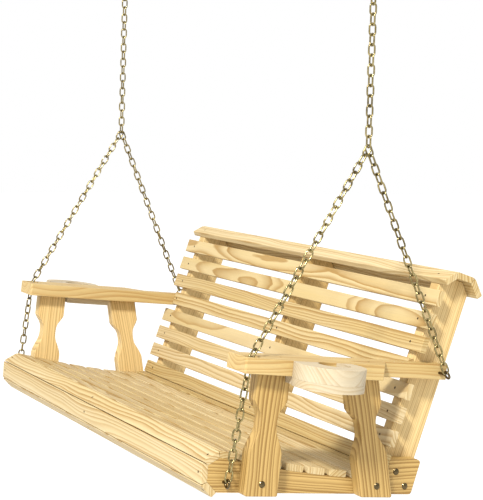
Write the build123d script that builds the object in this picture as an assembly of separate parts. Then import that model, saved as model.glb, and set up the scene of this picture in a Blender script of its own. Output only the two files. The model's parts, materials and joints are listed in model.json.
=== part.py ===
"""A hanging porch swing: slatted seat and back, arms with cup holders, and two forked chains.

The swing is drawn upright in a frame of its own, the seat frame: x along the seat, y from the
front corner of the rails towards the back, z up from the underside of the rails. It is then
hung below the ceiling hangers, tipped back by the angle at which its weight is under the forks.
The origin of the finished part is on the ceiling, midway between the two hangers.
"""

import os
from math import asin, atan2, cos, degrees, hypot, radians, sin, sqrt, tan

from build123d import *

# ---------------------------------------------------------------- timber
SLAT_LENGTH = 1524.0
SLAT_THICK = 17.0
STOCK = 38.0  # thickness of rails, back supports, posts and arms
SLAT_EASE = 2.5  # rounding of the slats' long edges
HALF = SLAT_LENGTH / 2  # outer face of the outer rails
RAIL_INSIDE = HALF - STOCK

# ---------------------------------------------------------------- seat rails, side outline (y, z)
NOSE = [(4.0, 84.5), (-25.5, 66.0), (-23.5, 25.0), (4.0, 0.0)]  # rounded front, in four cuts
FRONT_TOP_SLAT_END = 51.0
SEAT_LOW = 57.5  # lowest height of the seat surface
SEAT_LOW_AT = 390.0
SEAT_DISH = 0.0059
SEAT_SLATS = 7
SEAT_SLAT_START = 65.0
SEAT_SLAT_PITCH = 62.3
SEAT_SLAT_WIDTH = 49.0
REAR_SEAT_SLAT_END = 476.5
RAIL_LENGTH = 562.0
RAIL_REAR_TOP = (583.0, 90.0)
RAIL_CORNER = 9.0

# ---------------------------------------------------------------- back, leaning board line
BACK_LEAN = 14.2  # degrees from upright
BACK_FOOT = 449.7  # where the slats' front plane meets z = 0
SUPPORT_WIDTH = 96.0
SUPPORT_FOOT_Z = 2.0
BACK_SLATS = 8
BACK_SLAT_WIDTH = 43.0
BACK_SLAT_PITCH = 62.8
LOWEST_SLAT_FOOT_Z = 62.9  # the lowest back slat is cut level here, just clear of the seat
BACK_SLAT_TOP = 545.3  # top edge of the highest back slat, along the lean
ARM_LEVEL_SLAT = 4  # the slat that ends between the arms
BACK_ROLL = [(603.0, 541.7), (634.5, 561.5), (678.5, 551.5), (702.0, 512.0)]
ROLL_GAP = 2.4  # between neighbouring roll slats at their faces
ROLL_SEAM = 0.3  # between them at their inner edges

# ---------------------------------------------------------------- arms and posts
ARM_TOP = 337.5
ARM_BOTTOM = ARM_TOP - STOCK
ARM_FRONT = 11.0
ARM_REAR = 624.0
ARM_FRONT_OUT = 826.0
ARM_WIDE_OUT = 838.0
ARM_REAR_OUT = 772.0
ARM_WIDE_FROM = 132.0
ARM_WIDE_TO = 392.0
ARM_NARROW_FROM = 436.0
ARM_CORNER = 6.0
POST_WIDTH = 89.0
POST_OUT = HALF + STOCK
FRONT_POST_Y = 106.0
REAR_POST_Y = 435.0
REAR_POST_LEAN = 14.5
# Both edges of a post are cut in by these depths at these heights.
POST_NECK = [(0.0, 104.0), (5.0, 121.0), (13.0, 139.0), (20.0, 155.0), (22.5, 178.0), (18.5, 203.0), (6.0, 222.0), (0.0, 234.0)]
POST_CORNER = 5.0

# ---------------------------------------------------------------- cup holders
CUP_X = 870.0
CUP_Y = 228.0
CUP_RADIUS = 40.0
CUP_TAB_X = 876.0
CUP_TAB_Y = 212.0
CUP_TAB_RADIUS = 88.0
CUP_SCREW_SPREAD = 60.0
CUP_FLOOR_THICK = 19.0
CUP_FLOOR_INSIDE = 745.0
CUP_FLOOR_NECK_X = 802.0  # outer face of the posts, which the floor board stands between
CUP_FLOOR_NECK_Y = (153.5, 300.0)
CUP_FLOOR_WIDE_Y = (136.0, 300.0)

# ---------------------------------------------------------------- chain
WIRE = 4.8
LINK_INSIDE = 25.2
LINK_INSIDE_WIDTH = 12.2
LINK_GAP = 0.2
PITCH = LINK_INSIDE - LINK_GAP
LINK_BEND = (LINK_INSIDE_WIDTH + WIRE) / 2
LINK_STRAIGHT = LINK_INSIDE + WIRE - 2 * LINK_BEND
CHAIN_X = 797.0
MAIN_LINKS = 20
FRONT_LINKS_ABOVE_ARM = 24
FRONT_LINKS_BELOW_ARM = 12
REAR_LINKS = 25
FORK_SPREAD = 2.6  # each leg's first link stands this far to its side in the yoke link
FORK_GAP = 0.9
ARM_BEND = (37.0, 332.0)  # where the front leg bends over the arm slot's rear edge
ARM_SLOT = (30.0, 42.0)
ARM_SLOT_Y = 41.0

# ---------------------------------------------------------------- eye bolts, carriage bolts, screws
EYE_RADIUS = 9.5
EYE_WIRE = 6.0
BOLT = 7.8
BOLT_HOLE = 8.0
FIT = 0.05  # radial clearance of nuts and washers on bolts, and of screws in their holes
REAR_EYE = (602.0, 317.0)
REAR_EYE_X = 806.0
FRONT_EYE_Y = 20.0
FRONT_EYE_X = 783.0
BOLT_TAIL = 12.0  # beyond the face that the nut stands on
WASHER_RADIUS = 9.5
WASHER_THICK = 1.6
NUT_FLATS = 13.0
NUT_THICK = 6.5
BOLT_HEAD_RADIUS = 8.5
BOLT_HEAD_HEIGHT = 4.5
FRONT_POST_BOLT = (105.0, 30.0)
REAR_POST_BOLT = (432.0, 29.0)
RAIL_BOLTS = [(510.0, 58.0), (541.0, 21.0)]
SCREW = 4.0
SCREW_HEAD = 7.0
SCREW_HEAD_THICK = 2.2
SCREW_LENGTH = 45.0
SCREW_SINK = 0.4
ARM_SCREW_LENGTH = 70.0

# ---------------------------------------------------------------- ceiling hangers
PLATE = (38.0, 96.0, 5.0)
PLATE_HOLE_RADIUS = 4.0
PLATE_HOLE_SPACING = 66.0
HANGER_WIRE = 7.0
HANGER_RADIUS = 12.0
HANGER_LEG = 14.0

# ---------------------------------------------------------------- weights, kg per cubic mm
WOOD = 600e-9
STEEL = 7850e-9

SLOPE = tan(radians(BACK_LEAN))
UP_BACK = (sin(radians(BACK_LEAN)), cos(radians(BACK_LEAN)))
INTO_BACK = (UP_BACK[1], -UP_BACK[0])


# ================================================================ shared shapes
def across(points, x_low, x_high, ease=0.0):
    """A board with the side outline points, (y, z), between two places along the seat."""
    outline = make_face(Polyline(*points, close=True))
    if ease:
        outline = fillet(outline.vertices(), ease)
    return extrude(Plane.YZ.offset(x_low) * outline, x_high - x_low)


def rod(radius, start, end):
    """A round bar between two points."""
    axis = Vector(*end) - Vector(*start)
    bar = Cylinder(radius, axis.length, align=(Align.CENTER, Align.CENTER, Align.MIN))
    return Plane(origin=start, z_dir=axis) * bar


def mirrored(solid):
    """The same piece for the swing's other end."""
    return mirror(solid, about=Plane.YZ)


def seat_height(y):
    """Height of the dished seat surface."""
    return SEAT_LOW + SEAT_DISH * abs(y - SEAT_LOW_AT) ** 1.5


def offset_line(points, distance):
    """The open line of points moved sideways to the left of its direction, with mitred corners."""
    sides = []
    for a, b in zip(points, points[1:]):
        length = hypot(b[0] - a[0], b[1] - a[1])
        sides.append(((b[0] - a[0]) / length, (b[1] - a[1]) / length))
    moved = []
    for i, point in enumerate(points):
        before = sides[max(i - 1, 0)]
        after = sides[min(i, len(sides) - 1)]
        normal = (-before[1] - after[1], before[0] + after[0])
        share = 1 + before[0] * after[0] + before[1] * after[1]
        moved.append((point[0] + distance * normal[0] / share, point[1] + distance * normal[1] / share))
    return moved


def towards(a, b, distance):
    """The point at a distance from a on the way to b."""
    length = hypot(b[0] - a[0], b[1] - a[1])
    return (a[0] + (b[0] - a[0]) * distance / length, a[1] + (b[1] - a[1]) * distance / length)


# ================================================================ slats
class Slat:
    """A slat's side outline, its length, and where its screws go in."""

    def __init__(self, name, outer, inner, half_length=HALF):
        self.name = name
        self.outline = [outer[0], outer[1], inner[1], inner[0]]
        self.half_length = half_length
        self.face = ((outer[0][0] + outer[1][0]) / 2, (outer[0][1] + outer[1][1]) / 2)
        under = ((inner[0][0] + inner[1][0]) / 2, (inner[0][1] + inner[1][1]) / 2)
        depth = hypot(under[0] - self.face[0], under[1] - self.face[1])
        self.inward = ((under[0] - self.face[0]) / depth, (under[1] - self.face[1]) / depth)

    def solid(self):
        return across(self.outline, -self.half_length, self.half_length, SLAT_EASE)

    def along_screw(self, x, distance):
        """The point on a screw's axis at a distance below the slat's face."""
        return (x, self.face[0] + self.inward[0] * distance, self.face[1] + self.inward[1] * distance)


def rolled_slats(name, inner_line, first):
    """Slats wrapped round an outline, with bevelled edges that nearly meet."""
    outer_line = offset_line(inner_line, SLAT_THICK)
    found = []
    for i in range(len(inner_line) - 1):
        outer = (outer_line[i], outer_line[i + 1])
        inner = (inner_line[i], inner_line[i + 1])
        ends = []
        for pair, gap in ((outer, ROLL_GAP), (inner, ROLL_SEAM)):
            ends.append((towards(pair[0], pair[1], gap / 2), towards(pair[1], pair[0], gap / 2)))
        found.append(Slat(f"{name}_{first + i}", ends[0], ends[1]))
    return found


def seat_slats():
    """The flat slats of the seat, each a chord of the dished seat line."""
    found = []
    for i in range(SEAT_SLATS):
        front = SEAT_SLAT_START + i * SEAT_SLAT_PITCH
        rear = min(front + SEAT_SLAT_WIDTH, REAR_SEAT_SLAT_END)
        top = [(rear, seat_height(rear)), (front, seat_height(front))]
        under = offset_line(top, SLAT_THICK)
        found.append(Slat(f"seat_slat_{i + 1}", (top[1], top[0]), (under[1], under[0])))
    return found


def back_slats():
    """The back slats, numbered from the top."""
    found = []
    for i in range(BACK_SLATS):
        high = BACK_SLAT_TOP - i * BACK_SLAT_PITCH
        outer = []
        for along in (high, high - BACK_SLAT_WIDTH):
            outer.append((BACK_FOOT + along * UP_BACK[0], along * UP_BACK[1]))
        inner = [(y + SLAT_THICK * INTO_BACK[0], z + SLAT_THICK * INTO_BACK[1]) for y, z in outer]
        if i + 1 == BACK_SLATS:
            front = BACK_FOOT + LOWEST_SLAT_FOOT_Z * SLOPE
            outer[1] = (front, LOWEST_SLAT_FOOT_Z)
            inner[1] = (front + SLAT_THICK / UP_BACK[1], LOWEST_SLAT_FOOT_Z)
        half_length = RAIL_INSIDE - 0.5 if i + 1 == ARM_LEVEL_SLAT else HALF
        found.append(Slat(f"back_slat_{i + 1}", outer, inner, half_length))
    return found


NOSE_TOP = [(FRONT_TOP_SLAT_END, seat_height(FRONT_TOP_SLAT_END)), (0.0, 103.5)]
FRONT_TOP_UNDER = offset_line(NOSE_TOP, SLAT_THICK)[0]
FRONT_ROLL = rolled_slats("front_roll_slat", [*reversed([FRONT_TOP_UNDER, *NOSE])], 1)
SEAT = seat_slats()
BACK = back_slats()
TOP_ROLL = rolled_slats("back_roll_slat", BACK_ROLL, 1)


# ================================================================ rails and back supports
def support_edge(z, behind=0.0):
    """Where the back supports' front edge is at a height, or a line parallel to it behind."""
    return BACK_FOOT + SLAT_THICK / UP_BACK[1] + z * SLOPE + behind / UP_BACK[1]


def rail_outline():
    """Side outline of a seat rail, from the nose's lower end along the underside."""
    points = [NOSE[3], (RAIL_LENGTH, 0.0), RAIL_REAR_TOP]
    points.append((support_edge(RAIL_REAR_TOP[1]), RAIL_REAR_TOP[1]))
    foot = SEAT[-1].outline[2]
    points.append((support_edge(foot[1]), foot[1]))
    for slat in reversed(SEAT):
        points.append(slat.outline[2])
        points.append(slat.outline[3])
    points.append(FRONT_TOP_UNDER)
    points.extend(NOSE[:3])
    return points


def seat_rail(x_low):
    rail = across(rail_outline(), x_low, x_low + STOCK)
    rear = rail.edges().filter_by(Axis.X).sort_by(Axis.Y)[-2:]
    return fillet(rear, RAIL_CORNER)


def back_support(x_low):
    """A leaning board whose top is cut to carry the three slats of the roll."""
    roll = BACK_ROLL
    front_slope = (roll[1][1] - roll[0][1]) / (roll[1][0] - roll[0][0])
    top_front = (support_edge(0) + (roll[0][1] - front_slope * roll[0][0]) * SLOPE) / (1 - front_slope * SLOPE)
    rear_slope = (roll[3][1] - roll[2][1]) / (roll[3][0] - roll[2][0])
    rear_foot = support_edge(0, SUPPORT_WIDTH)
    top_rear = (rear_foot + (roll[2][1] - rear_slope * roll[2][0]) * SLOPE) / (1 - rear_slope * SLOPE)
    points = [
        (support_edge(SUPPORT_FOOT_Z), SUPPORT_FOOT_Z),
        (top_front, roll[0][1] + front_slope * (top_front - roll[0][0])),
        roll[1],
        roll[2],
        (top_rear, roll[2][1] + rear_slope * (top_rear - roll[2][0])),
        (support_edge(SUPPORT_FOOT_Z, SUPPORT_WIDTH), SUPPORT_FOOT_Z),
    ]
    return across(points, x_low, x_low + STOCK)


# ================================================================ arms, posts, cup holders
def on_arm(outline, z_low, z_high):
    """A board cut to a plan outline, (x, y)."""
    return extrude(Pos(0, 0, z_low) * outline, z_high - z_low)


def plan_board(x_low, x_high, depth):
    """A plain rectangle in plan, (x, y)."""
    middle = (depth[0] + depth[1]) / 2
    corner = (Align.MIN, Align.CENTER)
    return Pos(x_low, middle) * Rectangle(x_high - x_low, depth[1] - depth[0], align=corner)


def cup_hole(z_low, z_high):
    return Pos(CUP_X, CUP_Y, z_low) * Cylinder(
        CUP_RADIUS, z_high - z_low, align=(Align.CENTER, Align.CENTER, Align.MIN)
    )


def armrest():
    """The arm at the right end, wide over the posts and narrow beside the back support."""
    plan = [
        (RAIL_INSIDE, ARM_FRONT),
        (ARM_FRONT_OUT, ARM_FRONT),
        (ARM_WIDE_OUT, ARM_WIDE_FROM),
        (ARM_WIDE_OUT, ARM_WIDE_TO),
        (ARM_REAR_OUT, ARM_NARROW_FROM),
        (ARM_REAR_OUT, ARM_REAR),
        (RAIL_INSIDE, ARM_REAR),
    ]
    outline = make_face(Polyline(*plan, close=True))
    corners = outline.vertices().filter_by_position(Axis.Y, ARM_FRONT - 1, ARM_FRONT + 1)
    outline = fillet(corners, ARM_CORNER)
    slot = Pos(CHAIN_X, ARM_SLOT_Y) * Rot(Z=90) * SlotOverall(ARM_SLOT[1], ARM_SLOT[0])
    return on_arm(outline - slot, ARM_BOTTOM, ARM_TOP) - cup_hole(ARM_BOTTOM, ARM_TOP)


def cup_holder_ring():
    """The round-ended block beside the arm, bored for a cup."""
    disc = Pos(CUP_TAB_X, CUP_TAB_Y) * Circle(CUP_TAB_RADIUS)
    beside = plan_board(ARM_WIDE_OUT, CUP_TAB_X + CUP_TAB_RADIUS, (0.0, ARM_REAR))
    return on_arm(disc & beside, ARM_BOTTOM, ARM_TOP) - cup_hole(ARM_BOTTOM, ARM_TOP)


def cup_holder_floor():
    """The board under the arm and the ring that closes the cup hole."""
    outline = Pos(CUP_TAB_X, CUP_TAB_Y) * Circle(CUP_TAB_RADIUS)
    outline += plan_board(CUP_FLOOR_NECK_X, CUP_TAB_X, CUP_FLOOR_WIDE_Y)
    outline += plan_board(CUP_FLOOR_INSIDE, CUP_FLOOR_NECK_X, CUP_FLOOR_NECK_Y)
    return on_arm(outline, ARM_BOTTOM - CUP_FLOOR_THICK, ARM_BOTTOM)


def arm_post(foot_y, lean):
    """A board from the rail to the arm, necked on both edges."""
    half = POST_WIDTH / 2

    def edge(side):
        neck = [(side * (half - depth), height) for depth, height in POST_NECK]
        return [
            Line((side * half, -STOCK), neck[0]),
            Spline(*neck),
            Line(neck[-1], (side * half, ARM_TOP)),
        ]

    right = Wire(edge(1))
    left = Wire(edge(-1))
    ends = [Line((-half, -STOCK), (half, -STOCK)), Line((-half, ARM_TOP), (half, ARM_TOP))]
    outline = make_face([*right.edges(), *left.edges(), *[end.edge() for end in ends]])
    board = extrude(Plane.YZ.offset(HALF) * outline, STOCK)
    board = Pos(0, foot_y, 0) * Rot(X=lean) * board
    room = Pos(HALF + STOCK / 2, foot_y, 0) * Box(
        2 * STOCK, 8 * POST_WIDTH, ARM_BOTTOM, align=(Align.CENTER, Align.CENTER, Align.MIN)
    )
    board = board & room
    foot = board.edges().filter_by(Axis.X).sort_by(Axis.Z)[:2]
    return fillet(foot, POST_CORNER)


# ================================================================ chain
def chain_link():
    """One welded link, centred, long along z and wide along x."""
    half = LINK_STRAIGHT / 2
    crown = half + LINK_BEND
    path = Wire(
        [
            Line((LINK_BEND, 0, -half), (LINK_BEND, 0, half)),
            ThreePointArc((LINK_BEND, 0, half), (0, 0, crown), (-LINK_BEND, 0, half)),
            Line((-LINK_BEND, 0, half), (-LINK_BEND, 0, -half)),
            ThreePointArc((-LINK_BEND, 0, -half), (0, 0, -crown), (LINK_BEND, 0, -half)),
        ]
    )
    section = Plane(origin=(LINK_BEND, 0, -half), z_dir=(0, 0, 1)) * Circle(WIRE / 2)
    return sweep(section, path=path)


LINK = chain_link()


def chain_run(first_centre, direction, count, first_turn, twist=90.0):
    """Links along a straight line. A turn of 0 puts a link's width across the seat's length."""
    along = Vector(*direction).normalized()
    across_run = Vector(1, 0, 0) - along * along.X
    links = []
    for i in range(count):
        centre = Vector(*first_centre) + along * (PITCH * i)
        width = across_run.rotate(Axis((0, 0, 0), along), first_turn + twist * i)
        links.append(Plane(origin=centre, x_dir=width, z_dir=along) * LINK)
    return links


def hook_reach(radius, gap=LINK_GAP):
    """From a link's centre to the centre of the wire, of this radius, that it hooks on."""
    return LINK_INSIDE / 2 - radius - gap


# ================================================================ fasteners
def eye_bolt(ring_x, y, z, pull, nut_face_x):
    """An eye bolt along x. The ring stands in the plane of x and the chain's pull, (y, z)."""
    tilt = degrees(atan2(pull[1], pull[0]))
    ring = Plane(origin=(ring_x, y, z), x_dir=(1, 0, 0), z_dir=(0, -sin(radians(tilt)), cos(radians(tilt))))
    torus = ring * Torus(EYE_RADIUS, EYE_WIRE / 2)
    shank = rod(BOLT / 2, (nut_face_x - BOLT_TAIL, y, z), (ring_x - EYE_RADIUS, y, z))
    return torus + shank


def carriage_bolt(head_x, nut_face_x, y, z):
    """A bolt along x with a domed head on the face at head_x."""
    side = 1 if head_x > nut_face_x else -1
    ball = (BOLT_HEAD_RADIUS**2 + BOLT_HEAD_HEIGHT**2) / (2 * BOLT_HEAD_HEIGHT)
    half_angle = asin(BOLT_HEAD_RADIUS / ball) / 2
    crown = head_x + side * BOLT_HEAD_HEIGHT
    shoulder = (crown - side * ball * (1 - cos(half_angle)), ball * sin(half_angle))
    tail = nut_face_x - side * BOLT_TAIL
    outline = [
        Line((tail, 0), (tail, BOLT / 2)),
        Line((tail, BOLT / 2), (head_x, BOLT / 2)),
        Line((head_x, BOLT / 2), (head_x, BOLT_HEAD_RADIUS)),
        ThreePointArc((head_x, BOLT_HEAD_RADIUS), shoulder, (crown, 0)),
        Line((crown, 0), (tail, 0)),
    ]
    return Pos(0, y, z) * revolve(make_face(outline), Axis.X)


def washer(face_x, side, y, z):
    end_x = face_x - side * WASHER_THICK
    hole = rod(BOLT / 2 + FIT, (face_x, y, z), (end_x, y, z))
    return rod(WASHER_RADIUS, (face_x, y, z), (end_x, y, z)) - hole


def nut(face_x, side, y, z):
    start_x = face_x - side * WASHER_THICK
    plane = Plane(origin=(start_x, y, z), x_dir=(0, 1, 0), z_dir=(-side, 0, 0))
    outline = RegularPolygon(NUT_FLATS / 2, 6, major_radius=False) - Circle(BOLT / 2 + FIT)
    return extrude(plane * outline, NUT_THICK)


def slat_screw(slat, x):
    """A screw through a slat's face, its head a little below the surface."""
    head = rod(SCREW_HEAD / 2, slat.along_screw(x, SCREW_SINK), slat.along_screw(x, SCREW_SINK + SCREW_HEAD_THICK))
    return head + rod(SCREW / 2, slat.along_screw(x, SCREW_SINK), slat.along_screw(x, SCREW_LENGTH))


def slat_screw_hole(slat, x):
    seat = SCREW_SINK + SCREW_HEAD_THICK
    head = rod(SCREW_HEAD / 2 + FIT, slat.along_screw(x, -1), slat.along_screw(x, seat))
    return head + rod(SCREW / 2 + FIT, slat.along_screw(x, 0), slat.along_screw(x, SCREW_LENGTH + FIT))


# ================================================================ the swing in its seat frame
SWING = {}

rail_x = {"left": -HALF, "middle": -STOCK, "right": RAIL_INSIDE}
support_x = {"left": -RAIL_INSIDE, "middle": 0.0, "right": RAIL_INSIDE - STOCK}
for place in rail_x:
    SWING[f"seat_rail_{place}"] = seat_rail(rail_x[place])
    SWING[f"back_support_{place}"] = back_support(support_x[place])

screws = []
for slats, frame, frame_x in ((FRONT_ROLL + SEAT, "seat_rail", rail_x), (BACK + TOP_ROLL, "back_support", support_x)):
    for slat in slats:
        SWING[slat.name] = slat.solid()
        for place, x_low in frame_x.items():
            x = x_low + STOCK / 2
            hole = slat_screw_hole(slat, x)
            SWING[slat.name] -= hole
            SWING[f"{frame}_{place}"] -= hole
            screws.append(slat_screw(slat, x))
SWING["slat_screws"] = Compound(children=screws)

# Arms, posts and cup holders at the right end, with the holes for what fastens them.
right = {
    "armrest": armrest(),
    "front_arm_post": arm_post(FRONT_POST_Y, 0.0),
    "rear_arm_post": arm_post(REAR_POST_Y, REAR_POST_LEAN),
    "cup_holder_ring": cup_holder_ring(),
    "cup_holder_floor": cup_holder_floor(),
}

# Screws down through the arm into each post, and up through the cup holder's floor.
top_shift = ARM_BOTTOM * tan(radians(REAR_POST_LEAN))
post_top = {"front_arm_post": FRONT_POST_Y, "rear_arm_post": REAR_POST_Y - top_shift}
post_x = HALF + STOCK / 2
arm_screws = []


def upright_screw(x, y, head_z, tip_z, radial=0.0):
    side = 1 if head_z > tip_z else -1
    head_end = head_z - side * SCREW_HEAD_THICK
    head = rod(SCREW_HEAD / 2 + radial, (x, y, head_z), (x, y, head_end))
    return head + rod(SCREW / 2 + radial, (x, y, head_z), (x, y, tip_z - side * radial))


def add_upright_screw(x, y, face_z, tip_z, wood):
    side = 1 if face_z > tip_z else -1
    head_z = face_z - side * SCREW_SINK
    mouth = rod(SCREW_HEAD / 2 + FIT, (x, y, face_z + side), (x, y, head_z))
    for name in wood:
        right[name] -= upright_screw(x, y, head_z, tip_z, FIT) + mouth
    arm_screws.append(upright_screw(x, y, head_z, tip_z))


for post, centre in post_top.items():
    for step in (-1, 1):
        add_upright_screw(post_x, centre + step * POST_WIDTH / 4, ARM_TOP, ARM_TOP - ARM_SCREW_LENGTH, ("armrest", post))
floor_bottom = ARM_BOTTOM - CUP_FLOOR_THICK
for step in (-1, 1):
    for x, wood in ((820.0, "armrest"), (892.0, "cup_holder_ring")):
        y = CUP_TAB_Y + step * CUP_SCREW_SPREAD
        add_upright_screw(x, y, floor_bottom, floor_bottom + SCREW_LENGTH, ("cup_holder_floor", wood))

# Chain points in the seat frame: where the two legs meet above the seat.
reach_bend = hook_reach(WIRE / 2, FORK_GAP) + (FRONT_LINKS_ABOVE_ARM - 0.5) * PITCH
reach_rear = hook_reach(WIRE / 2, FORK_GAP) + (REAR_LINKS - 1) * PITCH + hook_reach(EYE_WIRE / 2) + EYE_RADIUS
reach_front = (FRONT_LINKS_BELOW_ARM - 0.5) * PITCH + hook_reach(EYE_WIRE / 2) + EYE_RADIUS
lean_out = REAR_EYE_X - CHAIN_X + FORK_SPREAD
reach_rear = sqrt(reach_rear**2 - lean_out**2)
span = hypot(REAR_EYE[0] - ARM_BEND[0], REAR_EYE[1] - ARM_BEND[1])
along_span = (reach_bend**2 - reach_rear**2 + span**2) / (2 * span)
above_span = sqrt(reach_bend**2 - along_span**2)
unit = ((REAR_EYE[0] - ARM_BEND[0]) / span, (REAR_EYE[1] - ARM_BEND[1]) / span)
FORK = (
    ARM_BEND[0] + along_span * unit[0] - above_span * unit[1],
    ARM_BEND[1] + along_span * unit[1] + above_span * unit[0],
)
FRONT_EYE_Z = ARM_BEND[1] - sqrt(
    reach_front**2 - (ARM_BEND[0] - FRONT_EYE_Y) ** 2 - (CHAIN_X - FRONT_EYE_X) ** 2
)

fork_front = Vector(CHAIN_X + FORK_SPREAD, *FORK)
fork_rear = Vector(CHAIN_X - FORK_SPREAD, *FORK)
bend = Vector(CHAIN_X, *ARM_BEND)
front_eye = Vector(FRONT_EYE_X, FRONT_EYE_Y, FRONT_EYE_Z)
rear_eye = Vector(REAR_EYE_X, *REAR_EYE)


def leg(start, end, offset, count, first_turn, twist=90.0):
    """A straight run of links whose first centre is offset from its start."""
    direction = (end - start).normalized()
    return chain_run(tuple(start + direction * offset), tuple(direction), count, first_turn, twist)


above = leg(fork_front, bend, hook_reach(WIRE / 2, FORK_GAP), FRONT_LINKS_ABOVE_ARM, 90.0)
below_twist = 90.0 + 90.0 / FRONT_LINKS_BELOW_ARM
below = leg(bend, front_eye, PITCH / 2, FRONT_LINKS_BELOW_ARM, below_twist, below_twist)
right["front_leg_chain"] = Compound(children=above + below)
behind = leg(fork_rear, rear_eye, hook_reach(WIRE / 2, FORK_GAP), REAR_LINKS, 90.0)
right["rear_leg_chain"] = Compound(children=behind)

front_pull = bend - front_eye
rear_pull = fork_rear - rear_eye
front_place = (FRONT_EYE_X, FRONT_EYE_Y, FRONT_EYE_Z)
rear_place = (REAR_EYE_X, *REAR_EYE)
right["front_eye_bolt"] = eye_bolt(*front_place, (front_pull.Y, front_pull.Z), RAIL_INSIDE)
right["rear_eye_bolt"] = eye_bolt(*rear_place, (rear_pull.Y, rear_pull.Z), RAIL_INSIDE - STOCK)

# Bolts along x at the right end: place, head face, nut face and the boards they pass.
support_inside = RAIL_INSIDE - STOCK
bolt_rows = [
    (FRONT_POST_BOLT, POST_OUT, RAIL_INSIDE),
    (REAR_POST_BOLT, POST_OUT, RAIL_INSIDE),
    (RAIL_BOLTS[0], HALF, support_inside),
    (RAIL_BOLTS[1], HALF, support_inside),
]
bolts = []
washers = []
nuts = []
for place, head_x, nut_x in bolt_rows:
    bolts.append(carriage_bolt(head_x, nut_x, *place))
    washers.append(washer(nut_x, 1, *place))
    nuts.append(nut(nut_x, 1, *place))
for place, nut_x in (((FRONT_EYE_Y, FRONT_EYE_Z), RAIL_INSIDE), (REAR_EYE, support_inside)):
    washers.append(washer(nut_x, 1, *place))
    nuts.append(nut(nut_x, 1, *place))


def bored(solid, y, z):
    """The board with a bolt hole along x."""
    return solid - rod(BOLT_HOLE / 2, (-2 * HALF, y, z), (2 * HALF, y, z))


right["front_arm_post"] = bored(right["front_arm_post"], *FRONT_POST_BOLT)
right["rear_arm_post"] = bored(right["rear_arm_post"], *REAR_POST_BOLT)
right["armrest"] = bored(right["armrest"], *REAR_EYE)
for place in rail_x:
    rail_holes = list(RAIL_BOLTS)
    support_holes = list(RAIL_BOLTS)
    if place != "middle":
        rail_holes += [FRONT_POST_BOLT, REAR_POST_BOLT, (FRONT_EYE_Y, FRONT_EYE_Z)]
        support_holes.append(REAR_EYE)
    for hole in rail_holes:
        SWING[f"seat_rail_{place}"] = bored(SWING[f"seat_rail_{place}"], *hole)
    for hole in support_holes:
        SWING[f"back_support_{place}"] = bored(SWING[f"back_support_{place}"], *hole)

for name, solid in right.items():
    SWING[f"{name}_right"] = solid
    SWING[f"{name}_left"] = mirrored(solid)
bolts += [mirrored(bolt) for bolt in bolts]
washers += [mirrored(ring) for ring in washers]
nuts += [mirrored(hexagon) for hexagon in nuts]
for place in RAIL_BOLTS:
    bolts.append(carriage_bolt(-STOCK, STOCK, *place))
    washers.append(washer(STOCK, -1, *place))
    nuts.append(nut(STOCK, -1, *place))
SWING["carriage_bolts"] = Compound(children=bolts)
SWING["washers"] = Compound(children=washers)
SWING["hex_nuts"] = Compound(children=nuts)
SWING["arm_screws"] = Compound(children=arm_screws + [mirrored(screw) for screw in arm_screws])

# ================================================================ hang it
STEEL_PARTS = ("chain", "bolt", "screw", "washer", "nut")
mass = 0.0
moment = Vector(0, 0, 0)
for name, solid in SWING.items():
    density = STEEL if any(word in name for word in STEEL_PARTS) else WOOD
    for piece in solid.solids():
        weight = piece.volume * density
        mass += weight
        moment += piece.center(CenterOf.MASS) * weight
balance = moment * (1 / mass)
HANG_ANGLE = degrees(atan2(balance.Y - FORK[0], FORK[1] - balance.Z))

hook_z = -PLATE[2] - HANGER_LEG - HANGER_RADIUS
first_link_z = hook_z - hook_reach(HANGER_WIRE / 2)
yoke_z = first_link_z - (MAIN_LINKS - 1) * PITCH
crown_rise = LINK_BEND - sqrt(LINK_BEND**2 - FORK_SPREAD**2)
fork_z = yoke_z - (LINK_INSIDE + WIRE) / 2 + crown_rise
HANG = Pos(0, 0, fork_z) * Rot(X=-HANG_ANGLE) * Pos(0, -FORK[0], -FORK[1])

PARTS = {name: HANG * solid for name, solid in SWING.items()}

# ================================================================ main chains and ceiling hangers
main = chain_run((CHAIN_X, 0, first_link_z), (0, 0, -1), MAIN_LINKS, 90.0)


def ceiling_hanger():
    """A screwed plate with a loop of bar welded below it."""
    plate = Pos(CHAIN_X, 0, -PLATE[2] / 2) * Box(*PLATE)
    for step in (-1, 1):
        y = step * PLATE_HOLE_SPACING / 2
        plate -= rod(PLATE_HOLE_RADIUS, (CHAIN_X, y, -PLATE[2]), (CHAIN_X, y, 0))
    leg_top = -PLATE[2]
    leg_foot = leg_top - HANGER_LEG
    path = Wire(
        [
            Line((CHAIN_X - HANGER_RADIUS, 0, leg_top), (CHAIN_X - HANGER_RADIUS, 0, leg_foot)),
            ThreePointArc(
                (CHAIN_X - HANGER_RADIUS, 0, leg_foot),
                (CHAIN_X, 0, leg_foot - HANGER_RADIUS),
                (CHAIN_X + HANGER_RADIUS, 0, leg_foot),
            ),
            Line((CHAIN_X + HANGER_RADIUS, 0, leg_foot), (CHAIN_X + HANGER_RADIUS, 0, leg_top)),
        ]
    )
    section = Plane(origin=(CHAIN_X - HANGER_RADIUS, 0, leg_top), z_dir=(0, 0, -1)) * Circle(HANGER_WIRE / 2)
    return plate + sweep(section, path=path)


overhead = {
    "ceiling_hanger": ceiling_hanger(),
    "top_link": main[0],
    "upper_chain": Compound(children=main[1:-1]),
    "yoke_link": main[-1],
}
for name, solid in overhead.items():
    PARTS[f"{name}_right"] = solid
    PARTS[f"{name}_left"] = mirrored(solid)

# ================================================================ write the parts
os.makedirs("parts", exist_ok=True)
for name, solid in PARTS.items():
    export_step(solid, f"parts/{name}.step")

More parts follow.
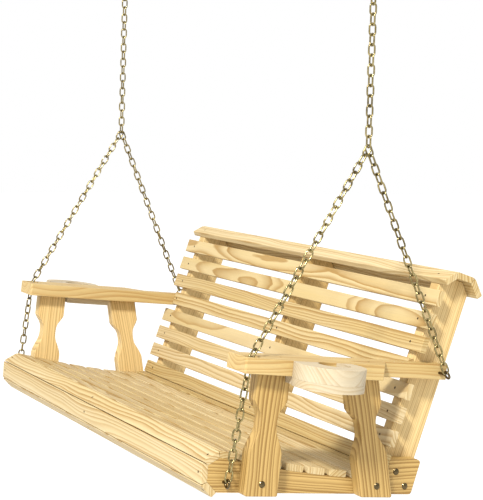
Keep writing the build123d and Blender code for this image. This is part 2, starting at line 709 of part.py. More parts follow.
sway_z = first_link_z - (LINK_INSIDE + WIRE) / 2
level_z = yoke_z + PITCH - (LINK_INSIDE + WIRE) / 2
print("hang angle", round(HANG_ANGLE, 3), "mass below the forks", round(mass, 2), "kg")
print("hinge heights: hook", hook_z, "sway", sway_z, "yoke", level_z, "fork", round(fork_z, 4))
print("fork in the seat frame", [round(v, 2) for v in FORK], "front eye z", round(FRONT_EYE_Z, 2))
cup = HANG * Pos(CUP_X, CUP_Y, ARM_BOTTOM)
print("cup hole foot", cup.position, "axis z tilt", round(HANG_ANGLE, 3))
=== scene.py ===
import json
import random
from math import radians

import bmesh
import bpy
import numpy as np
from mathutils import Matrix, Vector


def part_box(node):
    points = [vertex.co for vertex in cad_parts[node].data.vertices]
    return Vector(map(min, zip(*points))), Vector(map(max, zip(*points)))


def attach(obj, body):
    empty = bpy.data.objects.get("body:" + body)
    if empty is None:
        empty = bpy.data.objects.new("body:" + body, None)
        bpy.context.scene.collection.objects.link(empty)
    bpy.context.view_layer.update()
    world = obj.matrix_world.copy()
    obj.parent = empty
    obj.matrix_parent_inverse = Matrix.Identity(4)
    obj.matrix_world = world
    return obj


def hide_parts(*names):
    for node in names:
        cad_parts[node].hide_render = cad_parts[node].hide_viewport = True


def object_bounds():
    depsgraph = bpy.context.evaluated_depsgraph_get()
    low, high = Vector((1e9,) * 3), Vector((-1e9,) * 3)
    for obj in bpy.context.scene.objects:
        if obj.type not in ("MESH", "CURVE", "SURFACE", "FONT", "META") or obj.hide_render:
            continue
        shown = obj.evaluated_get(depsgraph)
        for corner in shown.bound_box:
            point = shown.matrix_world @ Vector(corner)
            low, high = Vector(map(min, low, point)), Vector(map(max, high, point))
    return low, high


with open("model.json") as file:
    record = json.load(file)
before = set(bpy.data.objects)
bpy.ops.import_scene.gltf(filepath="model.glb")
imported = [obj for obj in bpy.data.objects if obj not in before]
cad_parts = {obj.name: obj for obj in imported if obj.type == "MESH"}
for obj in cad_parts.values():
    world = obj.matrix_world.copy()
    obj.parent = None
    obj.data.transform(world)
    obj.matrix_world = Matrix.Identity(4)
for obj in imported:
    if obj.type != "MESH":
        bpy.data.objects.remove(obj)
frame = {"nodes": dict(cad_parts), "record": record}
cad_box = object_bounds()
record = frame["record"]
slot_of = {part["node"]: part["material_slot"] for part in record["subparts"]}
body_of = {node: body for body, nodes in record["behaviour"]["bodies"].items() for node in nodes}
mounts = {mount["name"]: mount for mount in record["mounts"]}

ALONG_SEAT = Vector((1, 0, 0))
SEAT_UP = Vector(mounts["cup_hole_right"]["axis"])
SEAT_BACK = Vector((0, SEAT_UP.z, -SEAT_UP.y))
BACK_LEAN = radians(14.2)
POST_LEAN = radians(14.5)


# ---------------------------------------------------------------- node building
class Signal:
    """One output of a node. Sums written with signals add Math nodes to their tree."""

    def __init__(self, tree, socket):
        self.tree = tree
        self.socket = socket

    def output(self, name):
        """Another output of the same node, by its name or number."""
        return Signal(self.tree, self.socket.node.outputs[name])

    def math(self, operation, first, second=0.0):
        return add_node(self.tree, "ShaderNodeMath", {"operation": operation}, {0: first, 1: second})

    def __add__(self, other):
        return self.math("ADD", self, other)

    def __radd__(self, other):
        return self.math("ADD", other, self)

    def __sub__(self, other):
        return self.math("SUBTRACT", self, other)

    def __rsub__(self, other):
        return self.math("SUBTRACT", other, self)

    def __mul__(self, other):
        return self.math("MULTIPLY", self, other)

    def __rmul__(self, other):
        return self.math("MULTIPLY", other, self)

    def __truediv__(self, other):
        return self.math("DIVIDE", self, other)

    def __rtruediv__(self, other):
        return self.math("DIVIDE", other, self)

    def __pow__(self, other):
        return self.math("POWER", self, other)

    def __rpow__(self, other):
        return self.math("POWER", other, self)


def add_node(tree, kind, settings=None, values=None, output=0):
    """Adds a node, its settings first and then the values or links of its sockets, and gives one output."""
    node = tree.nodes.new(kind)
    for name, value in (settings or {}).items():
        if name == "stops":
            ramp = node.color_ramp
            while len(ramp.elements) < len(value):
                ramp.elements.new(1.0)
            for element, (place, colour) in zip(ramp.elements, value):
                element.position = place
                element.color = (*colour, 1.0)
        else:
            setattr(node, name, value)
    for name, value in (values or {}).items():
        if isinstance(value, Signal):
            tree.links.new(value.socket, node.inputs[name])
        else:
            node.inputs[name].default_value = value
    return Signal(tree, node.outputs[output]) if len(node.outputs) else None


def grey_ramp(tree, factor, stops):
    """Greys over a factor, from pairs of place and brightness."""
    greys = [(place, (bright, bright, bright)) for place, bright in stops]
    return add_node(tree, "ShaderNodeValToRGB", {"stops": greys}, {"Fac": factor})


def noise(tree, vector, scale, detail=2.0, roughness=0.5):
    values = {"Vector": vector, "Scale": scale, "Detail": detail, "Roughness": roughness}
    return add_node(tree, "ShaderNodeTexNoise", None, values)


def vector_math(tree, operation, first, second, output=0):
    return add_node(tree, "ShaderNodeVectorMath", {"operation": operation}, {0: first, 1: second}, output)


def combined(tree, x, y=0.0, z=0.0):
    return add_node(tree, "ShaderNodeCombineXYZ", None, {"X": x, "Y": y, "Z": z})


def stretched(tree, vector, along, across):
    """Coordinates scaled one way along the grain and another across it."""
    return vector_math(tree, "MULTIPLY", vector, (along, across, across))


def mixed(tree, factor, first, second, blend="MIX"):
    """A colour mix. Sockets 6 and 7 are the colours of a Mix node, and output 2 is its colour."""
    colours = [colour if isinstance(colour, Signal) else (*colour, 1.0) for colour in (first, second)]
    settings = {"data_type": "RGBA", "blend_type": blend, "clamp_factor": True}
    return add_node(tree, "ShaderNodeMix", settings, {0: factor, 6: colours[0], 7: colours[1]}, 2)


def bumps(tree, height, strength, distance):
    """Normals for a height from 0 to 1, where 1 stands a distance in metres above 0."""
    values = {"Strength": strength, "Distance": distance, "Height": height}
    return add_node(tree, "ShaderNodeBump", None, values)


def new_material(name):
    material = bpy.data.materials.new(name)
    material.use_nodes = True
    material.node_tree.nodes.clear()
    return material, material.node_tree


def finish_material(tree, values):
    """Ends a material in one shader, with the values or links of its sockets."""
    shader = add_node(tree, "ShaderNodeBsdfPrincipled", None, values)
    add_node(tree, "ShaderNodeOutputMaterial", None, {"Surface": shader})


# ---------------------------------------------------------------- wood
# Timber coordinates are metres from the pith of the log: along it, across the board and through it.
RING_SWEEP = 0.055  # how far the growth rings drift from true circles over the length of a board
RING_WOBBLE = 0.005  # how far they waver over a hand's width
UNEVEN_YEARS = 2.0  # how many rings good and poor years shift the count by
LATE_WOOD = [(0.0, 0.05), (0.25, 0.10), (0.58, 0.50), (0.80, 0.95), (0.92, 1.0), (0.985, 0.05)]
HEARTWOOD = [(0.40, 0.0), (0.90, 1.0)]
# Noise scales, along the grain and across it.
SWEEP_SCALE = (1.9, 5.0)
WOBBLE_SCALE = (7.0, 30.0)
FIBRE_SCALE = (9.0, 700.0)
PATCH_SCALE = (1.6, 13.0)
STREAK_SCALE = (2.2, 110.0)
YEAR_SCALE = 60.0  # across the growth rings, for good and poor years
GRAIN_RELIEF = 0.0004
WOOD_SHEEN = 0.3


def pine(name, sapwood, heartwood, latewood, ring, strength):
    """Planed pine cut from growth rings round a pith: pale early wood and darker late wood lines."""
    material, tree = new_material(name)
    grain = add_node(tree, "ShaderNodeAttribute", {"attribute_name": "timber"}, None, "Vector")
    tone = add_node(tree, "ShaderNodeAttribute", {"attribute_name": "tone"}, None, "Fac")
    parts = add_node(tree, "ShaderNodeSeparateXYZ", None, {0: grain})
    across, through = parts.output("Y"), parts.output("Z")

    sweep = noise(tree, stretched(tree, grain, *SWEEP_SCALE), 1.0, 1.0) - 0.5
    wobble = noise(tree, stretched(tree, grain, *WOBBLE_SCALE), 1.0) - 0.5
    radius = (across * across + through * through) ** 0.5 + sweep * RING_SWEEP + wobble * RING_WOBBLE
    uneven = noise(tree, combined(tree, radius * YEAR_SCALE), 1.0, 1.0) - 0.5
    count = radius / ring + uneven * UNEVEN_YEARS
    late = grey_ramp(tree, count.math("FRACT", count), LATE_WOOD)
    year = count.math("FLOOR", count)
    each = add_node(tree, "ShaderNodeTexWhiteNoise", {"noise_dimensions": "1D"}, {"W": year})
    fibre = noise(tree, stretched(tree, grain, *FIBRE_SCALE), 1.0, 3.0, 0.6)
    patch = noise(tree, stretched(tree, grain, *PATCH_SCALE), 1.0)
    streak = noise(tree, stretched(tree, grain, *STREAK_SCALE), 1.0)

    warm = grey_ramp(tree, patch * 0.8 + tone * 0.6 + streak * 0.2 - 0.1, HEARTWOOD)
    line = late * (each * 0.6 + 0.4) * (fibre * 0.4 + 0.8) * (patch * 0.6 + tone * 0.5 + 0.3)
    body = mixed(tree, line * strength, mixed(tree, warm, sapwood, heartwood), latewood)
    grey = fibre * 0.30 + streak * 0.16 + 0.81 - tone * 0.12
    finish_material(tree, {
        "Base Color": mixed(tree, 1.0, body, combined(tree, grey, grey, grey), "MULTIPLY"),
        "Roughness": fibre * 0.2 - line * 0.08 + 0.5,
        "Normal": bumps(tree, line * 0.35 + fibre * 0.45, 0.4, GRAIN_RELIEF),
        "Specular IOR Level": WOOD_SHEEN,
    })
    return material


# ---------------------------------------------------------------- metal
CLOUD_SCALE = 160.0
BROAD_CLOUD_SCALE = CLOUD_SCALE / 9.0
DULL_CLOUDS = [(0.42, 0.0), (0.68, 1.0)]
PLATING_RELIEF = 0.0002


def metal(name, bright, dull, roughness, stain, metallic=1.0):
    """Plated steel with a cloudy bright and dull finish."""
    material, tree = new_material(name)
    place = add_node(tree, "ShaderNodeTexCoord", None, None, "Object")
    cloud = noise(tree, place, CLOUD_SCALE, 3.0, 0.6)
    broad = noise(tree, place, BROAD_CLOUD_SCALE)
    cover = grey_ramp(tree, cloud * 0.6 + broad * 0.5, DULL_CLOUDS)
    finish_material(tree, {
        "Base Color": mixed(tree, cover * stain, bright, dull),
        "Roughness": cloud * 0.25 + (roughness - 0.12),
        "Normal": bumps(tree, cloud, 0.2, PLATING_RELIEF),
        "Metallic": metallic,
    })
    return material


FINISH = {
    "slat_wood": pine(
        "pine slats", sapwood=(0.55, 0.44, 0.25), heartwood=(0.49, 0.365, 0.155),
        latewood=(0.32, 0.19, 0.055), ring=0.008, strength=1.5),
    "frame_wood": pine(
        "pine frame", sapwood=(0.64, 0.47, 0.215), heartwood=(0.54, 0.355, 0.12),
        latewood=(0.29, 0.165, 0.042), ring=0.008, strength=1.45),
    "arm_wood": pine(
        "pine arms", sapwood=(0.52, 0.395, 0.19), heartwood=(0.465, 0.325, 0.115),
        latewood=(0.34, 0.19, 0.055), ring=0.010, strength=1.2),
    "cup_holder_wood": pine(
        "pale pine cup holders", sapwood=(0.475, 0.405, 0.28), heartwood=(0.44, 0.35, 0.21),
        latewood=(0.32, 0.22, 0.11), ring=0.008, strength=0.9),
    # The chain's colours are kept darker than bright zinc to stand for the dark room it would mirror: painted
    # dark reflection.
    "chain_metal": metal(
        "yellow zinc chain", bright=(0.40, 0.325, 0.145), dull=(0.085, 0.064, 0.026),
        roughness=0.24, stain=0.85),
    # The bolts' colours are kept near black to stand for the dark room their domed heads would mirror:
    # painted dark reflection.
    "bolt_metal": metal(
        "zinc plated bolts", bright=(0.13, 0.095, 0.045), dull=(0.07, 0.052, 0.026),
        roughness=0.16, stain=0.5),
    "screw_metal": metal(
        "dark screws", bright=(0.10, 0.065, 0.03), dull=(0.04, 0.025, 0.012),
        roughness=0.5, stain=0.6, metallic=0.6),
    "hanger_metal": metal(
        "zinc plated hangers", bright=(0.42, 0.39, 0.33), dull=(0.24, 0.22, 0.19),
        roughness=0.3, stain=0.4),
}


# ---------------------------------------------------------------- geometry node trees
def new_tree(name, inputs):
    """A geometry node tree with named inputs, and a dictionary of their signals."""
    tree = bpy.data.node_groups.new(name, "GeometryNodeTree")
    face = tree.interface
    for label, kind in inputs.items():
        face.new_socket(name=label, in_out="INPUT", socket_type=kind)
    face.new_socket(name="Geometry", in_out="OUTPUT", socket_type="NodeSocketGeometry")
    given = add_node(tree, "NodeGroupInput")
    return tree, {label: given.output(label) for label in inputs}


def finish_tree(tree, geometry, material):
    """Ends a tree in Realize Instances and Set Material."""
    solid = add_node(tree, "GeometryNodeRealizeInstances", None, {"Geometry": geometry})
    painted = add_node(tree, "GeometryNodeSetMaterial", None, {"Geometry": solid, "Material": material})
    add_node(tree, "NodeGroupOutput", None, {"Geometry": painted})


def set_inputs(modifier, tree, values):
    """Gives a modifier its tree, and the tree its inputs by their sockets' identifiers."""
    modifier.node_group = tree
    identifiers = {item.name: item.identifier for item in tree.interface.items_tree if item.in_out == "INPUT"}
    for label, value in values.items():
        modifier[identifiers[label]] = value


def baked(obj, name):
    """A new plain object from an object's modifiers."""
    bpy.context.view_layer.update()
    evaluated = obj.evaluated_get(bpy.context.evaluated_depsgraph_get())
    mesh = bpy.data.meshes.new_from_object(evaluated)
    bpy.data.objects.remove(obj)
    mesh.name = name
    piece = bpy.data.objects.new(name, mesh)
    bpy.context.collection.objects.link(piece)
    return piece


def finished(piece, node):
    """The piece stands for a CAD node and moves with its body."""
    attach(piece, body_of[node])
    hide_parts(node)


# ---------------------------------------------------------------- boards
def timber_tree():
    """Marks a board with its place in the log it was sawn from, and with its own tone."""
    tree, given = new_tree("timber", {
        "Board": "NodeSocketGeometry", "Grain": "NodeSocketVector", "Width": "NodeSocketVector",
        "Thickness": "NodeSocketVector", "Pith": "NodeSocketVector", "Fineness": "NodeSocketVector",
        "Tone": "NodeSocketFloat", "Finish": "NodeSocketMaterial",
    })
    place = add_node(tree, "GeometryNodeInputPosition")
    directions = [given[label] for label in ("Grain", "Width", "Thickness")]
    distances = [vector_math(tree, "DOT_PRODUCT", place, way, "Value") for way in directions]
    log = vector_math(tree, "ADD", combined(tree, *distances), given["Pith"])
    log = vector_math(tree, "MULTIPLY", log, given["Fineness"])
    marked = given["Board"]
    for label, kind, value in (("timber", "FLOAT_VECTOR", log), ("tone", "FLOAT", given["Tone"])):
        marked = add_node(tree, "GeometryNodeStoreNamedAttribute", {"data_type": kind, "domain": "POINT"},
                          {"Geometry": marked, "Name": label, "Value": value})
    finish_tree(tree, marked, given["Finish"])
    return tree


TIMBER = timber_tree()
WELD = 2e-6  # corners of a CAD node's loose triangles nearer than this are one corner
FLAT_ANGLE = radians(0.6)  # faces that meet at less than this are one flat face
CORNER_ANGLE = radians(28)  # edges sharper than this are eased
SMOOTH_ANGLE = radians(40)
HOLE_SIZE = 0.014  # edge loops smaller than this are screw and bolt holes, and stay sharp
EASE_STEPS = 3
SLAT_EASE = 0.0012
FRAME_EASE = 0.003
ARM_EASE = 0.004
CUP_FLOOR_EASE = 0.002


def welded(node):
    """A CAD node's shape as one closed mesh, to work on."""
    bm = bmesh.new()
    bm.from_mesh(frame["nodes"][node].data)
    bmesh.ops.remove_doubles(bm, verts=bm.verts, dist=WELD)
    return bm


def ease_edges(bm, ease):
    """Rounds a board's sharp edges, but not the rims of its screw holes."""
    sharp = {edge for edge in bm.edges if edge.is_manifold and edge.calc_face_angle() > CORNER_ANGLE}
    chosen = []
    while sharp:
        group = [sharp.pop()]
        for edge in group:
            for vert in edge.verts:
                for other in vert.link_edges:
                    if other in sharp:
                        sharp.remove(other)
                        group.append(other)
        corners = np.array([vert.co for edge in group for vert in edge.verts])
        if np.ptp(corners, axis=0).max() > HOLE_SIZE:
            chosen += group
    bmesh.ops.bevel(bm, geom=chosen, offset=ease, segments=EASE_STEPS, profile=0.5, affect="EDGES",
                    clamp_overlap=True)


def make_board(node, ease, grain, thickness, pith, tone, fineness=1.0):
    """A board with eased edges on the CAD node's shape, grained along one direction."""
    bm = welded(node)
    bmesh.ops.dissolve_limit(bm, angle_limit=FLAT_ANGLE, verts=bm.verts, edges=bm.edges)
    ease_edges(bm, ease)
    mesh = bpy.data.meshes.new(node)
    bm.to_mesh(mesh)
    bm.free()
    mesh.shade_smooth()
    mesh.set_sharp_from_angle(angle=SMOOTH_ANGLE)
    rough = bpy.data.objects.new(node + "_rough", mesh)
    bpy.context.collection.objects.link(rough)
    even = rough.modifiers.new("flat faces", "WEIGHTED_NORMAL")
    even.keep_sharp = True
    width = thickness.cross(grain).normalized()
    low, high = (Vector(corner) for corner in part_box(node))
    middle = (low + high) / 2
    start = Vector((0, width.dot(middle), thickness.dot(middle)))
    modifier = rough.modifiers.new("timber", "NODES")
    set_inputs(modifier, TIMBER, {
        "Grain": grain, "Width": width, "Thickness": thickness, "Pith": Vector(pith) - start,
        "Fineness": (1.0, fineness, fineness), "Tone": tone, "Finish": FINISH[slot_of[node]],
    })
    finished(baked(rough, node + "_board"), node)


def leaning(angle):
    """The seat's up direction, turned towards the back by an angle."""
    return (SEAT_UP + SEAT_BACK * np.tan(angle)).normalized()


def square_to(direction):
    """The direction across a board that stands on edge along the seat's depth."""
    return ALONG_SEAT.cross(direction).normalized()


chance = random.Random(11)
LOG_RUN = 40.0  # boards start anywhere along this length, so no two share a figure
PITH_NEAR = 0.02
PITH_FAR = (0.045, 0.095)
SLAT_RUNOUT = 0.012  # the most that the grain runs out of a slat's face, as a slope
SLAT_TONES = (0.15, 0.75)
ARM_TONES = (0.2, 0.5)


def pith_for(sawn):
    """Where the board sits in its log: above or below the pith for arched grain, beside it for straight."""
    along = chance.uniform(0.0, LOG_RUN)
    near = chance.uniform(-PITH_NEAR, PITH_NEAR)
    far = chance.uniform(*PITH_FAR)
    side = chance.choice((-1, 1))
    if sawn == "flat":
        return (along, near, side * far)
    if sawn == "rift":
        return (along, side * far * 0.8, far * 0.8)
    return (along, side * far * 1.3, near)


back_up = leaning(BACK_LEAN)
slat_faces = {"seat_slat": SEAT_UP, "front_roll_slat": SEAT_BACK, "back_slat": square_to(back_up),
              "back_roll_slat": square_to(back_up)}
FLAT_ROLL_SLATS = ("front_roll_slat_3", "front_roll_slat_4", "back_roll_slat_1", "back_roll_slat_2")
for node in sorted(slot_of):
    if slot_of[node] == "slat_wood":
        face = SEAT_UP if node in FLAT_ROLL_SLATS else slat_faces[node.rsplit("_", 1)[0]]
        ways = ("rift", "straight") if node.startswith("seat") else ("flat", "flat", "rift", "straight")
        sawn = chance.choice(ways)
        runout = ALONG_SEAT + face * chance.uniform(-SLAT_RUNOUT, SLAT_RUNOUT)
        make_board(node, SLAT_EASE, runout, face, pith_for(sawn), chance.uniform(*SLAT_TONES))

# A board's tone goes from 0 for a pale one to about 1 for a dark one with strong lines.
POST_TONE = {"right": 1.3, "left": 0.0}
RAIL_TONE = {"right": 1.1, "left": 1.1, "middle": 0.5}
SUPPORT_TONE = {"right": 0.1, "left": 0.1, "middle": 0.6}
CUP_RING_TONE = 0.25
CUP_FLOOR_TONE = 0.35
SUPPORT_FINENESS = 1.6  # the back supports have narrower growth rings than the rest
post_up = {"front": SEAT_UP, "rear": leaning(-POST_LEAN)}


def make_rail(side):
    make_board(f"seat_rail_{side}", FRAME_EASE, SEAT_BACK, ALONG_SEAT, pith_for("straight"), RAIL_TONE[side])


def make_back_support(side):
    make_board(f"back_support_{side}", FRAME_EASE, back_up, ALONG_SEAT, pith_for("straight"),
               SUPPORT_TONE[side], SUPPORT_FINENESS)


for side in ("right", "left"):
    make_rail(side)
    make_back_support(side)
    for end, up in post_up.items():
        make_board(f"{end}_arm_post_{side}", FRAME_EASE, up, ALONG_SEAT, pith_for("straight"),
                   POST_TONE[side])
    make_board(f"armrest_{side}", ARM_EASE, SEAT_BACK, SEAT_UP, pith_for("flat"), chance.uniform(*ARM_TONES))
    make_board(f"cup_holder_ring_{side}", ARM_EASE, SEAT_BACK, SEAT_UP, pith_for("rift"), CUP_RING_TONE)
    make_board(f"cup_holder_floor_{side}", CUP_FLOOR_EASE, SEAT_BACK, SEAT_UP, pith_for("rift"),
               CUP_FLOOR_TONE)
make_rail("middle")
make_back_support("middle")


# ---------------------------------------------------------------- chains
LINK_WIRE = 0.0048
LINK_INSIDE = 0.0252
LINK_INSIDE_WIDTH = 0.0122
LINK_END_POINTS = 4
WIRE_SIDES = 8
ALMOST_HALF = 0.4999  # a link's ends are half circles, with a hair left between their corners
QUARTER = radians(90)


def chain_tree():
    """Welded links along a straight run, each turned about the run against the one before."""
    tree, given = new_tree("chain run", {
        "Start": "NodeSocketVector", "End": "NodeSocketVector", "Links": "NodeSocketInt",
        "First turn": "NodeSocketFloat", "Turn per link": "NodeSocketFloat", "Looseness": "NodeSocketFloat",
        "Wire": "NodeSocketFloat", "Inside length": "NodeSocketFloat", "Inside width": "NodeSocketFloat",
        "Seed": "NodeSocketInt", "Finish": "NodeSocketMaterial",
    })
    width = given["Inside width"] + given["Wire"]
    outline = add_node(tree, "GeometryNodeCurvePrimitiveQuadrilateral", None,
                       {"Width": width, "Height": given["Inside length"] + given["Wire"]})
    outline = add_node(tree, "GeometryNodeFilletCurve", {"mode": "POLY"},
                       {"Curve": outline, "Count": LINK_END_POINTS, "Radius": width * ALMOST_HALF})
    section = add_node(tree, "GeometryNodeCurvePrimitiveCircle", {"mode": "RADIUS"},
                       {"Resolution": WIRE_SIDES, "Radius": given["Wire"] * 0.5})
    link = add_node(tree, "GeometryNodeCurveToMesh", None, {"Curve": outline, "Profile Curve": section})
    link = add_node(tree, "GeometryNodeSetShadeSmooth", None, {"Geometry": link})
    link = add_node(tree, "GeometryNodeTransform", None, {"Geometry": link, "Rotation": (QUARTER, 0.0, 0.0)})
    points = add_node(tree, "GeometryNodeMeshLine", {"mode": "END_POINTS"},
                      {"Count": given["Links"], "Start Location": given["Start"], "Offset": given["End"]})
    run = vector_math(tree, "SUBTRACT", given["Start"], given["End"])
    lined_up = add_node(tree, "FunctionNodeAxesToRotation", {"primary_axis": "Z", "secondary_axis": "X"},
                        {"Primary Axis": run, "Secondary Axis": (1.0, 0.0, 0.0)})
    index = add_node(tree, "GeometryNodeInputIndex")
    span = {2: -1.0, 3: 1.0, "Seed": given["Seed"]}  # sockets 2 and 3 are a number's least and greatest
    play = add_node(tree, "FunctionNodeRandomValue", {"data_type": "FLOAT"}, span, 1)
    angle = given["First turn"] + given["Turn per link"] * index + play * given["Looseness"]
    turned = add_node(tree, "FunctionNodeAxisAngleToRotation", None,
                      {"Axis": (0.0, 0.0, 1.0), "Angle": angle})
    rotation = add_node(tree, "FunctionNodeRotateRotation", {"rotation_space": "LOCAL"},
                        {"Rotation": lined_up, "Rotate By": turned})
    placed = add_node(tree, "GeometryNodeInstanceOnPoints", None,
                      {"Points": points, "Instance": link, "Rotation": rotation})
    finish_tree(tree, placed, given["Finish"])
    return tree


CHAIN = chain_tree()


def islands(node):
    """The separate solids of a CAD node, each as an array of its corners."""
    bm = welded(node)
    left = set(bm.verts)
    found = []
    while left:
        group = [left.pop()]
        for vert in group:
            for edge in vert.link_edges:
                other = edge.other_vert(vert)
                if other in left:
                    left.remove(other)
                    group.append(other)
        found.append(np.array([vert.co for vert in group]))
    bm.free()
    return found


def link_centres(node):
    """Centres of a chain's links, from the fork or the ceiling downwards."""
    centres = [Vector((corners.min(axis=0) + corners.max(axis=0)) / 2) for corners in islands(node)]
    return sorted(centres, key=lambda centre: -centre.z)


def chain_run(name, start, end, links, first_turn, turn, looseness, seed):
    """A plain mesh of links from one link's centre to another's."""
    base = bpy.data.objects.new(name, bpy.data.meshes.new(name))
    bpy.context.collection.objects.link(base)
    modifier = base.modifiers.new("chain", "NODES")
    set_inputs(modifier, CHAIN, {
        "Start": start, "End": end, "Links": links, "First turn": first_turn, "Turn per link": turn,
        "Looseness": looseness, "Wire": LINK_WIRE, "Inside length": LINK_INSIDE,
        "Inside width": LINK_INSIDE_WIDTH, "Seed": seed, "Finish": FINISH["chain_metal"],
    })
    return baked(base, name)


def joined(name, pieces):
    """One object from several meshes."""
    bm = bmesh.new()
    for piece in pieces:
        bm.from_mesh(piece.data)
    mesh = pieces[0].data
    bm.to_mesh(mesh)
    bm.free()
    for piece in pieces[1:]:
        bpy.data.objects.remove(piece)
    pieces[0].name = name
    return pieces[0]


FRONT_LINKS_ABOVE_ARM = 24
ARM_TURN = radians(97.5)  # the lower front run turns a quarter more over its length
LOOSE = radians(6)
for side, seed in (("right", 3), ("left", 8)):
    node = f"front_leg_chain_{side}"
    centres = link_centres(node)
    above = centres[:FRONT_LINKS_ABOVE_ARM]
    below = centres[FRONT_LINKS_ABOVE_ARM:]
    runs = [
        chain_run(node + "_a", above[0], above[-1], len(above), QUARTER, QUARTER, LOOSE, seed),
        chain_run(node + "_b", below[0], below[-1], len(below), ARM_TURN, ARM_TURN, LOOSE, seed + 1),
    ]
    finished(joined(node + "_links", runs), node)
    for node, first in ((f"rear_leg_chain_{side}", QUARTER), (f"upper_chain_{side}", 2 * QUARTER)):
        centres = link_centres(node)
        finished(chain_run(node + "_links", centres[0], centres[-1], len(centres), first, QUARTER, LOOSE,
                           seed + 2), node)
    for node, first in ((f"top_link_{side}", QUARTER), (f"yoke_link_{side}", 0.0)):
        centre = link_centres(node)[0]
        beneath = centre - Vector((0, 0, 1))
        finished(chain_run(node + "_link", centre, beneath, 1, first, 0.0, 0.0, seed), node)


# ---------------------------------------------------------------- screws
SCREW_HEAD = 0.0035  # radius
SCREW_HEAD_THICK = 0.0020
HEAD_SIDES = 12
RECESS_SHARE = 0.45  # the drive recess, as a share of the head's width
RECESS_DEPTH = 0.6  # and as a share of its thickness
RIM_SHARE = 0.9  # corners at least this far out, as a share of the widest, are on the head's rim


def screw_tree():
    """Flat screw heads with a drive recess, one on each point, facing along its attribute."""
    tree, given = new_tree("screw heads", {
        "Points": "NodeSocketGeometry", "Radius": "NodeSocketFloat", "Depth": "NodeSocketFloat",
        "Finish": "NodeSocketMaterial",
    })
    head = add_node(tree, "GeometryNodeMeshCylinder", {"fill_type": "NGON"},
                    {"Vertices": HEAD_SIDES, "Radius": given["Radius"], "Depth": given["Depth"]})
    head = add_node(tree, "GeometryNodeExtrudeMesh", {"mode": "FACES"},
                    {"Mesh": head, "Selection": head.output("Top"), "Offset Scale": 0.0})
    recess = head.output("Top")
    head = add_node(tree, "GeometryNodeScaleElements", {"domain": "FACE"},
                    {"Geometry": head, "Selection": recess, "Scale": RECESS_SHARE})
    head = add_node(tree, "GeometryNodeExtrudeMesh", {"mode": "FACES"},
                    {"Mesh": head, "Selection": recess, "Offset Scale": given["Depth"] * -RECESS_DEPTH})
    facing = add_node(tree, "GeometryNodeInputNamedAttribute", {"data_type": "FLOAT_VECTOR"},
                      {"Name": "facing"})
    rotation = add_node(tree, "FunctionNodeAlignRotationToVector", {"axis": "Z"}, {"Vector": facing})
    placed = add_node(tree, "GeometryNodeInstanceOnPoints", None,
                      {"Points": given["Points"], "Instance": head, "Rotation": rotation})
    finish_tree(tree, placed, given["Finish"])
    return tree


SCREWS = screw_tree()


def head_of(corners):
    """The middle of a screw's head and the direction it faces."""
    middle = corners.mean(axis=0)
    axis = np.linalg.svd(corners - middle)[2][0]
    along = (corners - middle) @ axis
    spread = np.linalg.norm(corners - middle - np.outer(along, axis), axis=1)
    if along[spread.argmax()] < 0:
        axis = -axis
    wide = corners[spread > spread.max() * RIM_SHARE]
    reach = ((wide - middle) @ axis).max()
    centre = wide.min(axis=0) * 0.5 + wide.max(axis=0) * 0.5
    centre = centre + axis * (reach - (centre - middle) @ axis)
    return Vector(centre - axis * SCREW_HEAD_THICK / 2), Vector(axis)


for node in ("slat_screws", "arm_screws"):
    heads = [head_of(corners) for corners in islands(node)]
    mesh = bpy.data.meshes.new(node + "_points")
    mesh.from_pydata([place for place, facing in heads], [], [])
    facing = mesh.attributes.new("facing", "FLOAT_VECTOR", "POINT")
    facing.data.foreach_set("vector", [value for place, way in heads for value in way])
    base = bpy.data.objects.new(node + "_points", mesh)
    bpy.context.collection.objects.link(base)
    modifier = base.modifiers.new("screws", "NODES")
    set_inputs(modifier, SCREWS, {
        "Radius": SCREW_HEAD, "Depth": SCREW_HEAD_THICK, "Finish": FINISH["screw_metal"],
    })
    finished(baked(base, node + "_heads"), node)

# ---------------------------------------------------------------- the CAD pieces that stay
for node, piece in frame["nodes"].items():
    if slot_of[node] in ("bolt_metal", "hanger_metal"):
        if not piece.material_slots:
            piece.data.materials.append(FINISH[slot_of[node]])
        for slot in piece.material_slots:
            slot.material = FINISH[slot_of[node]]

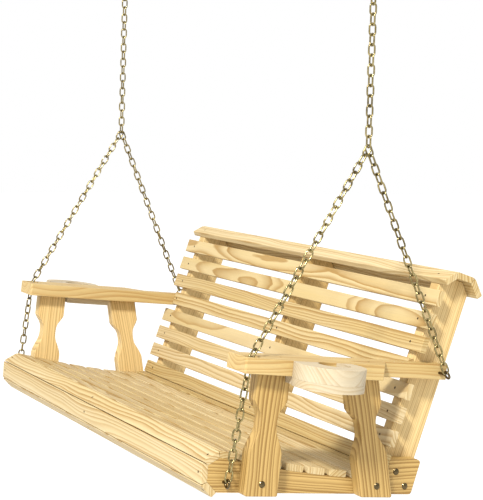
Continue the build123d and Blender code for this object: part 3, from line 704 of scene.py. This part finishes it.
# ---------------------------------------------------------------- floor, light, camera
WHITE = (1.0, 1.0, 1.0, 1.0)
FLOOR_Z = cad_box[0][2] - 0.42  # the swing hangs this far above the floor
FLOOR_REACH = 20.0
FLOOR_GREY = 0.45
FLOOR_ROUGHNESS = 0.8
FLOOR_GLOW = 0.6  # keeps the floor as bright as the world behind it
LIGHT_PLACE = Vector((5.3, -5.3, 5.3))
LIGHT_AIM = Vector((0.0, -0.1, -1.1))
LIGHT_SIZE = 1.5
LIGHT_POWER = 1300.0


def pale_floor():
    """A plain floor beneath the swing, as bright as the world."""
    material, tree = new_material("pale floor")
    finish_material(tree, {
        "Base Color": (FLOOR_GREY, FLOOR_GREY, FLOOR_GREY, 1.0), "Roughness": FLOOR_ROUGHNESS,
        "Emission Color": WHITE, "Emission Strength": FLOOR_GLOW,
    })
    mesh = bpy.data.meshes.new("floor")
    corners = [(x * FLOOR_REACH, y * FLOOR_REACH, FLOOR_Z) for x, y in ((-1, -1), (1, -1), (1, 1), (-1, 1))]
    mesh.from_pydata(corners, [], [(0, 1, 2, 3)])
    mesh.materials.append(material)
    floor = bpy.data.objects.new("floor", mesh)
    bpy.context.collection.objects.link(floor)
    return floor


pale_floor()

light = bpy.data.lights.new("key", "AREA")
light.shape = "DISK"
light.size = LIGHT_SIZE
light.energy = LIGHT_POWER
lamp = bpy.data.objects.new("key", light)
lamp.location = LIGHT_PLACE
lamp.rotation_euler = (LIGHT_AIM - LIGHT_PLACE).to_track_quat("-Z", "Y").to_euler()
bpy.context.collection.objects.link(lamp)

world = bpy.data.worlds.new("studio")
bpy.context.scene.world = world
world.use_nodes = True
world.node_tree.nodes["Background"].inputs["Color"].default_value = WHITE
world.node_tree.nodes["Background"].inputs["Strength"].default_value = 1.0

bpy.context.scene.view_settings.view_transform = "Standard"
lens = bpy.data.cameras.new("camera")
lens.lens = 108.4
lens.sensor_width = 36.0
lens.shift_x = 0.088
lens.shift_y = -0.127
camera = bpy.data.objects.new("camera", lens)
camera.location = (3.968, -1.968, -0.465)
camera.rotation_euler = (radians(87.328), radians(-1.671), radians(64.683))
bpy.context.collection.objects.link(camera)
bpy.context.scene.camera = camera
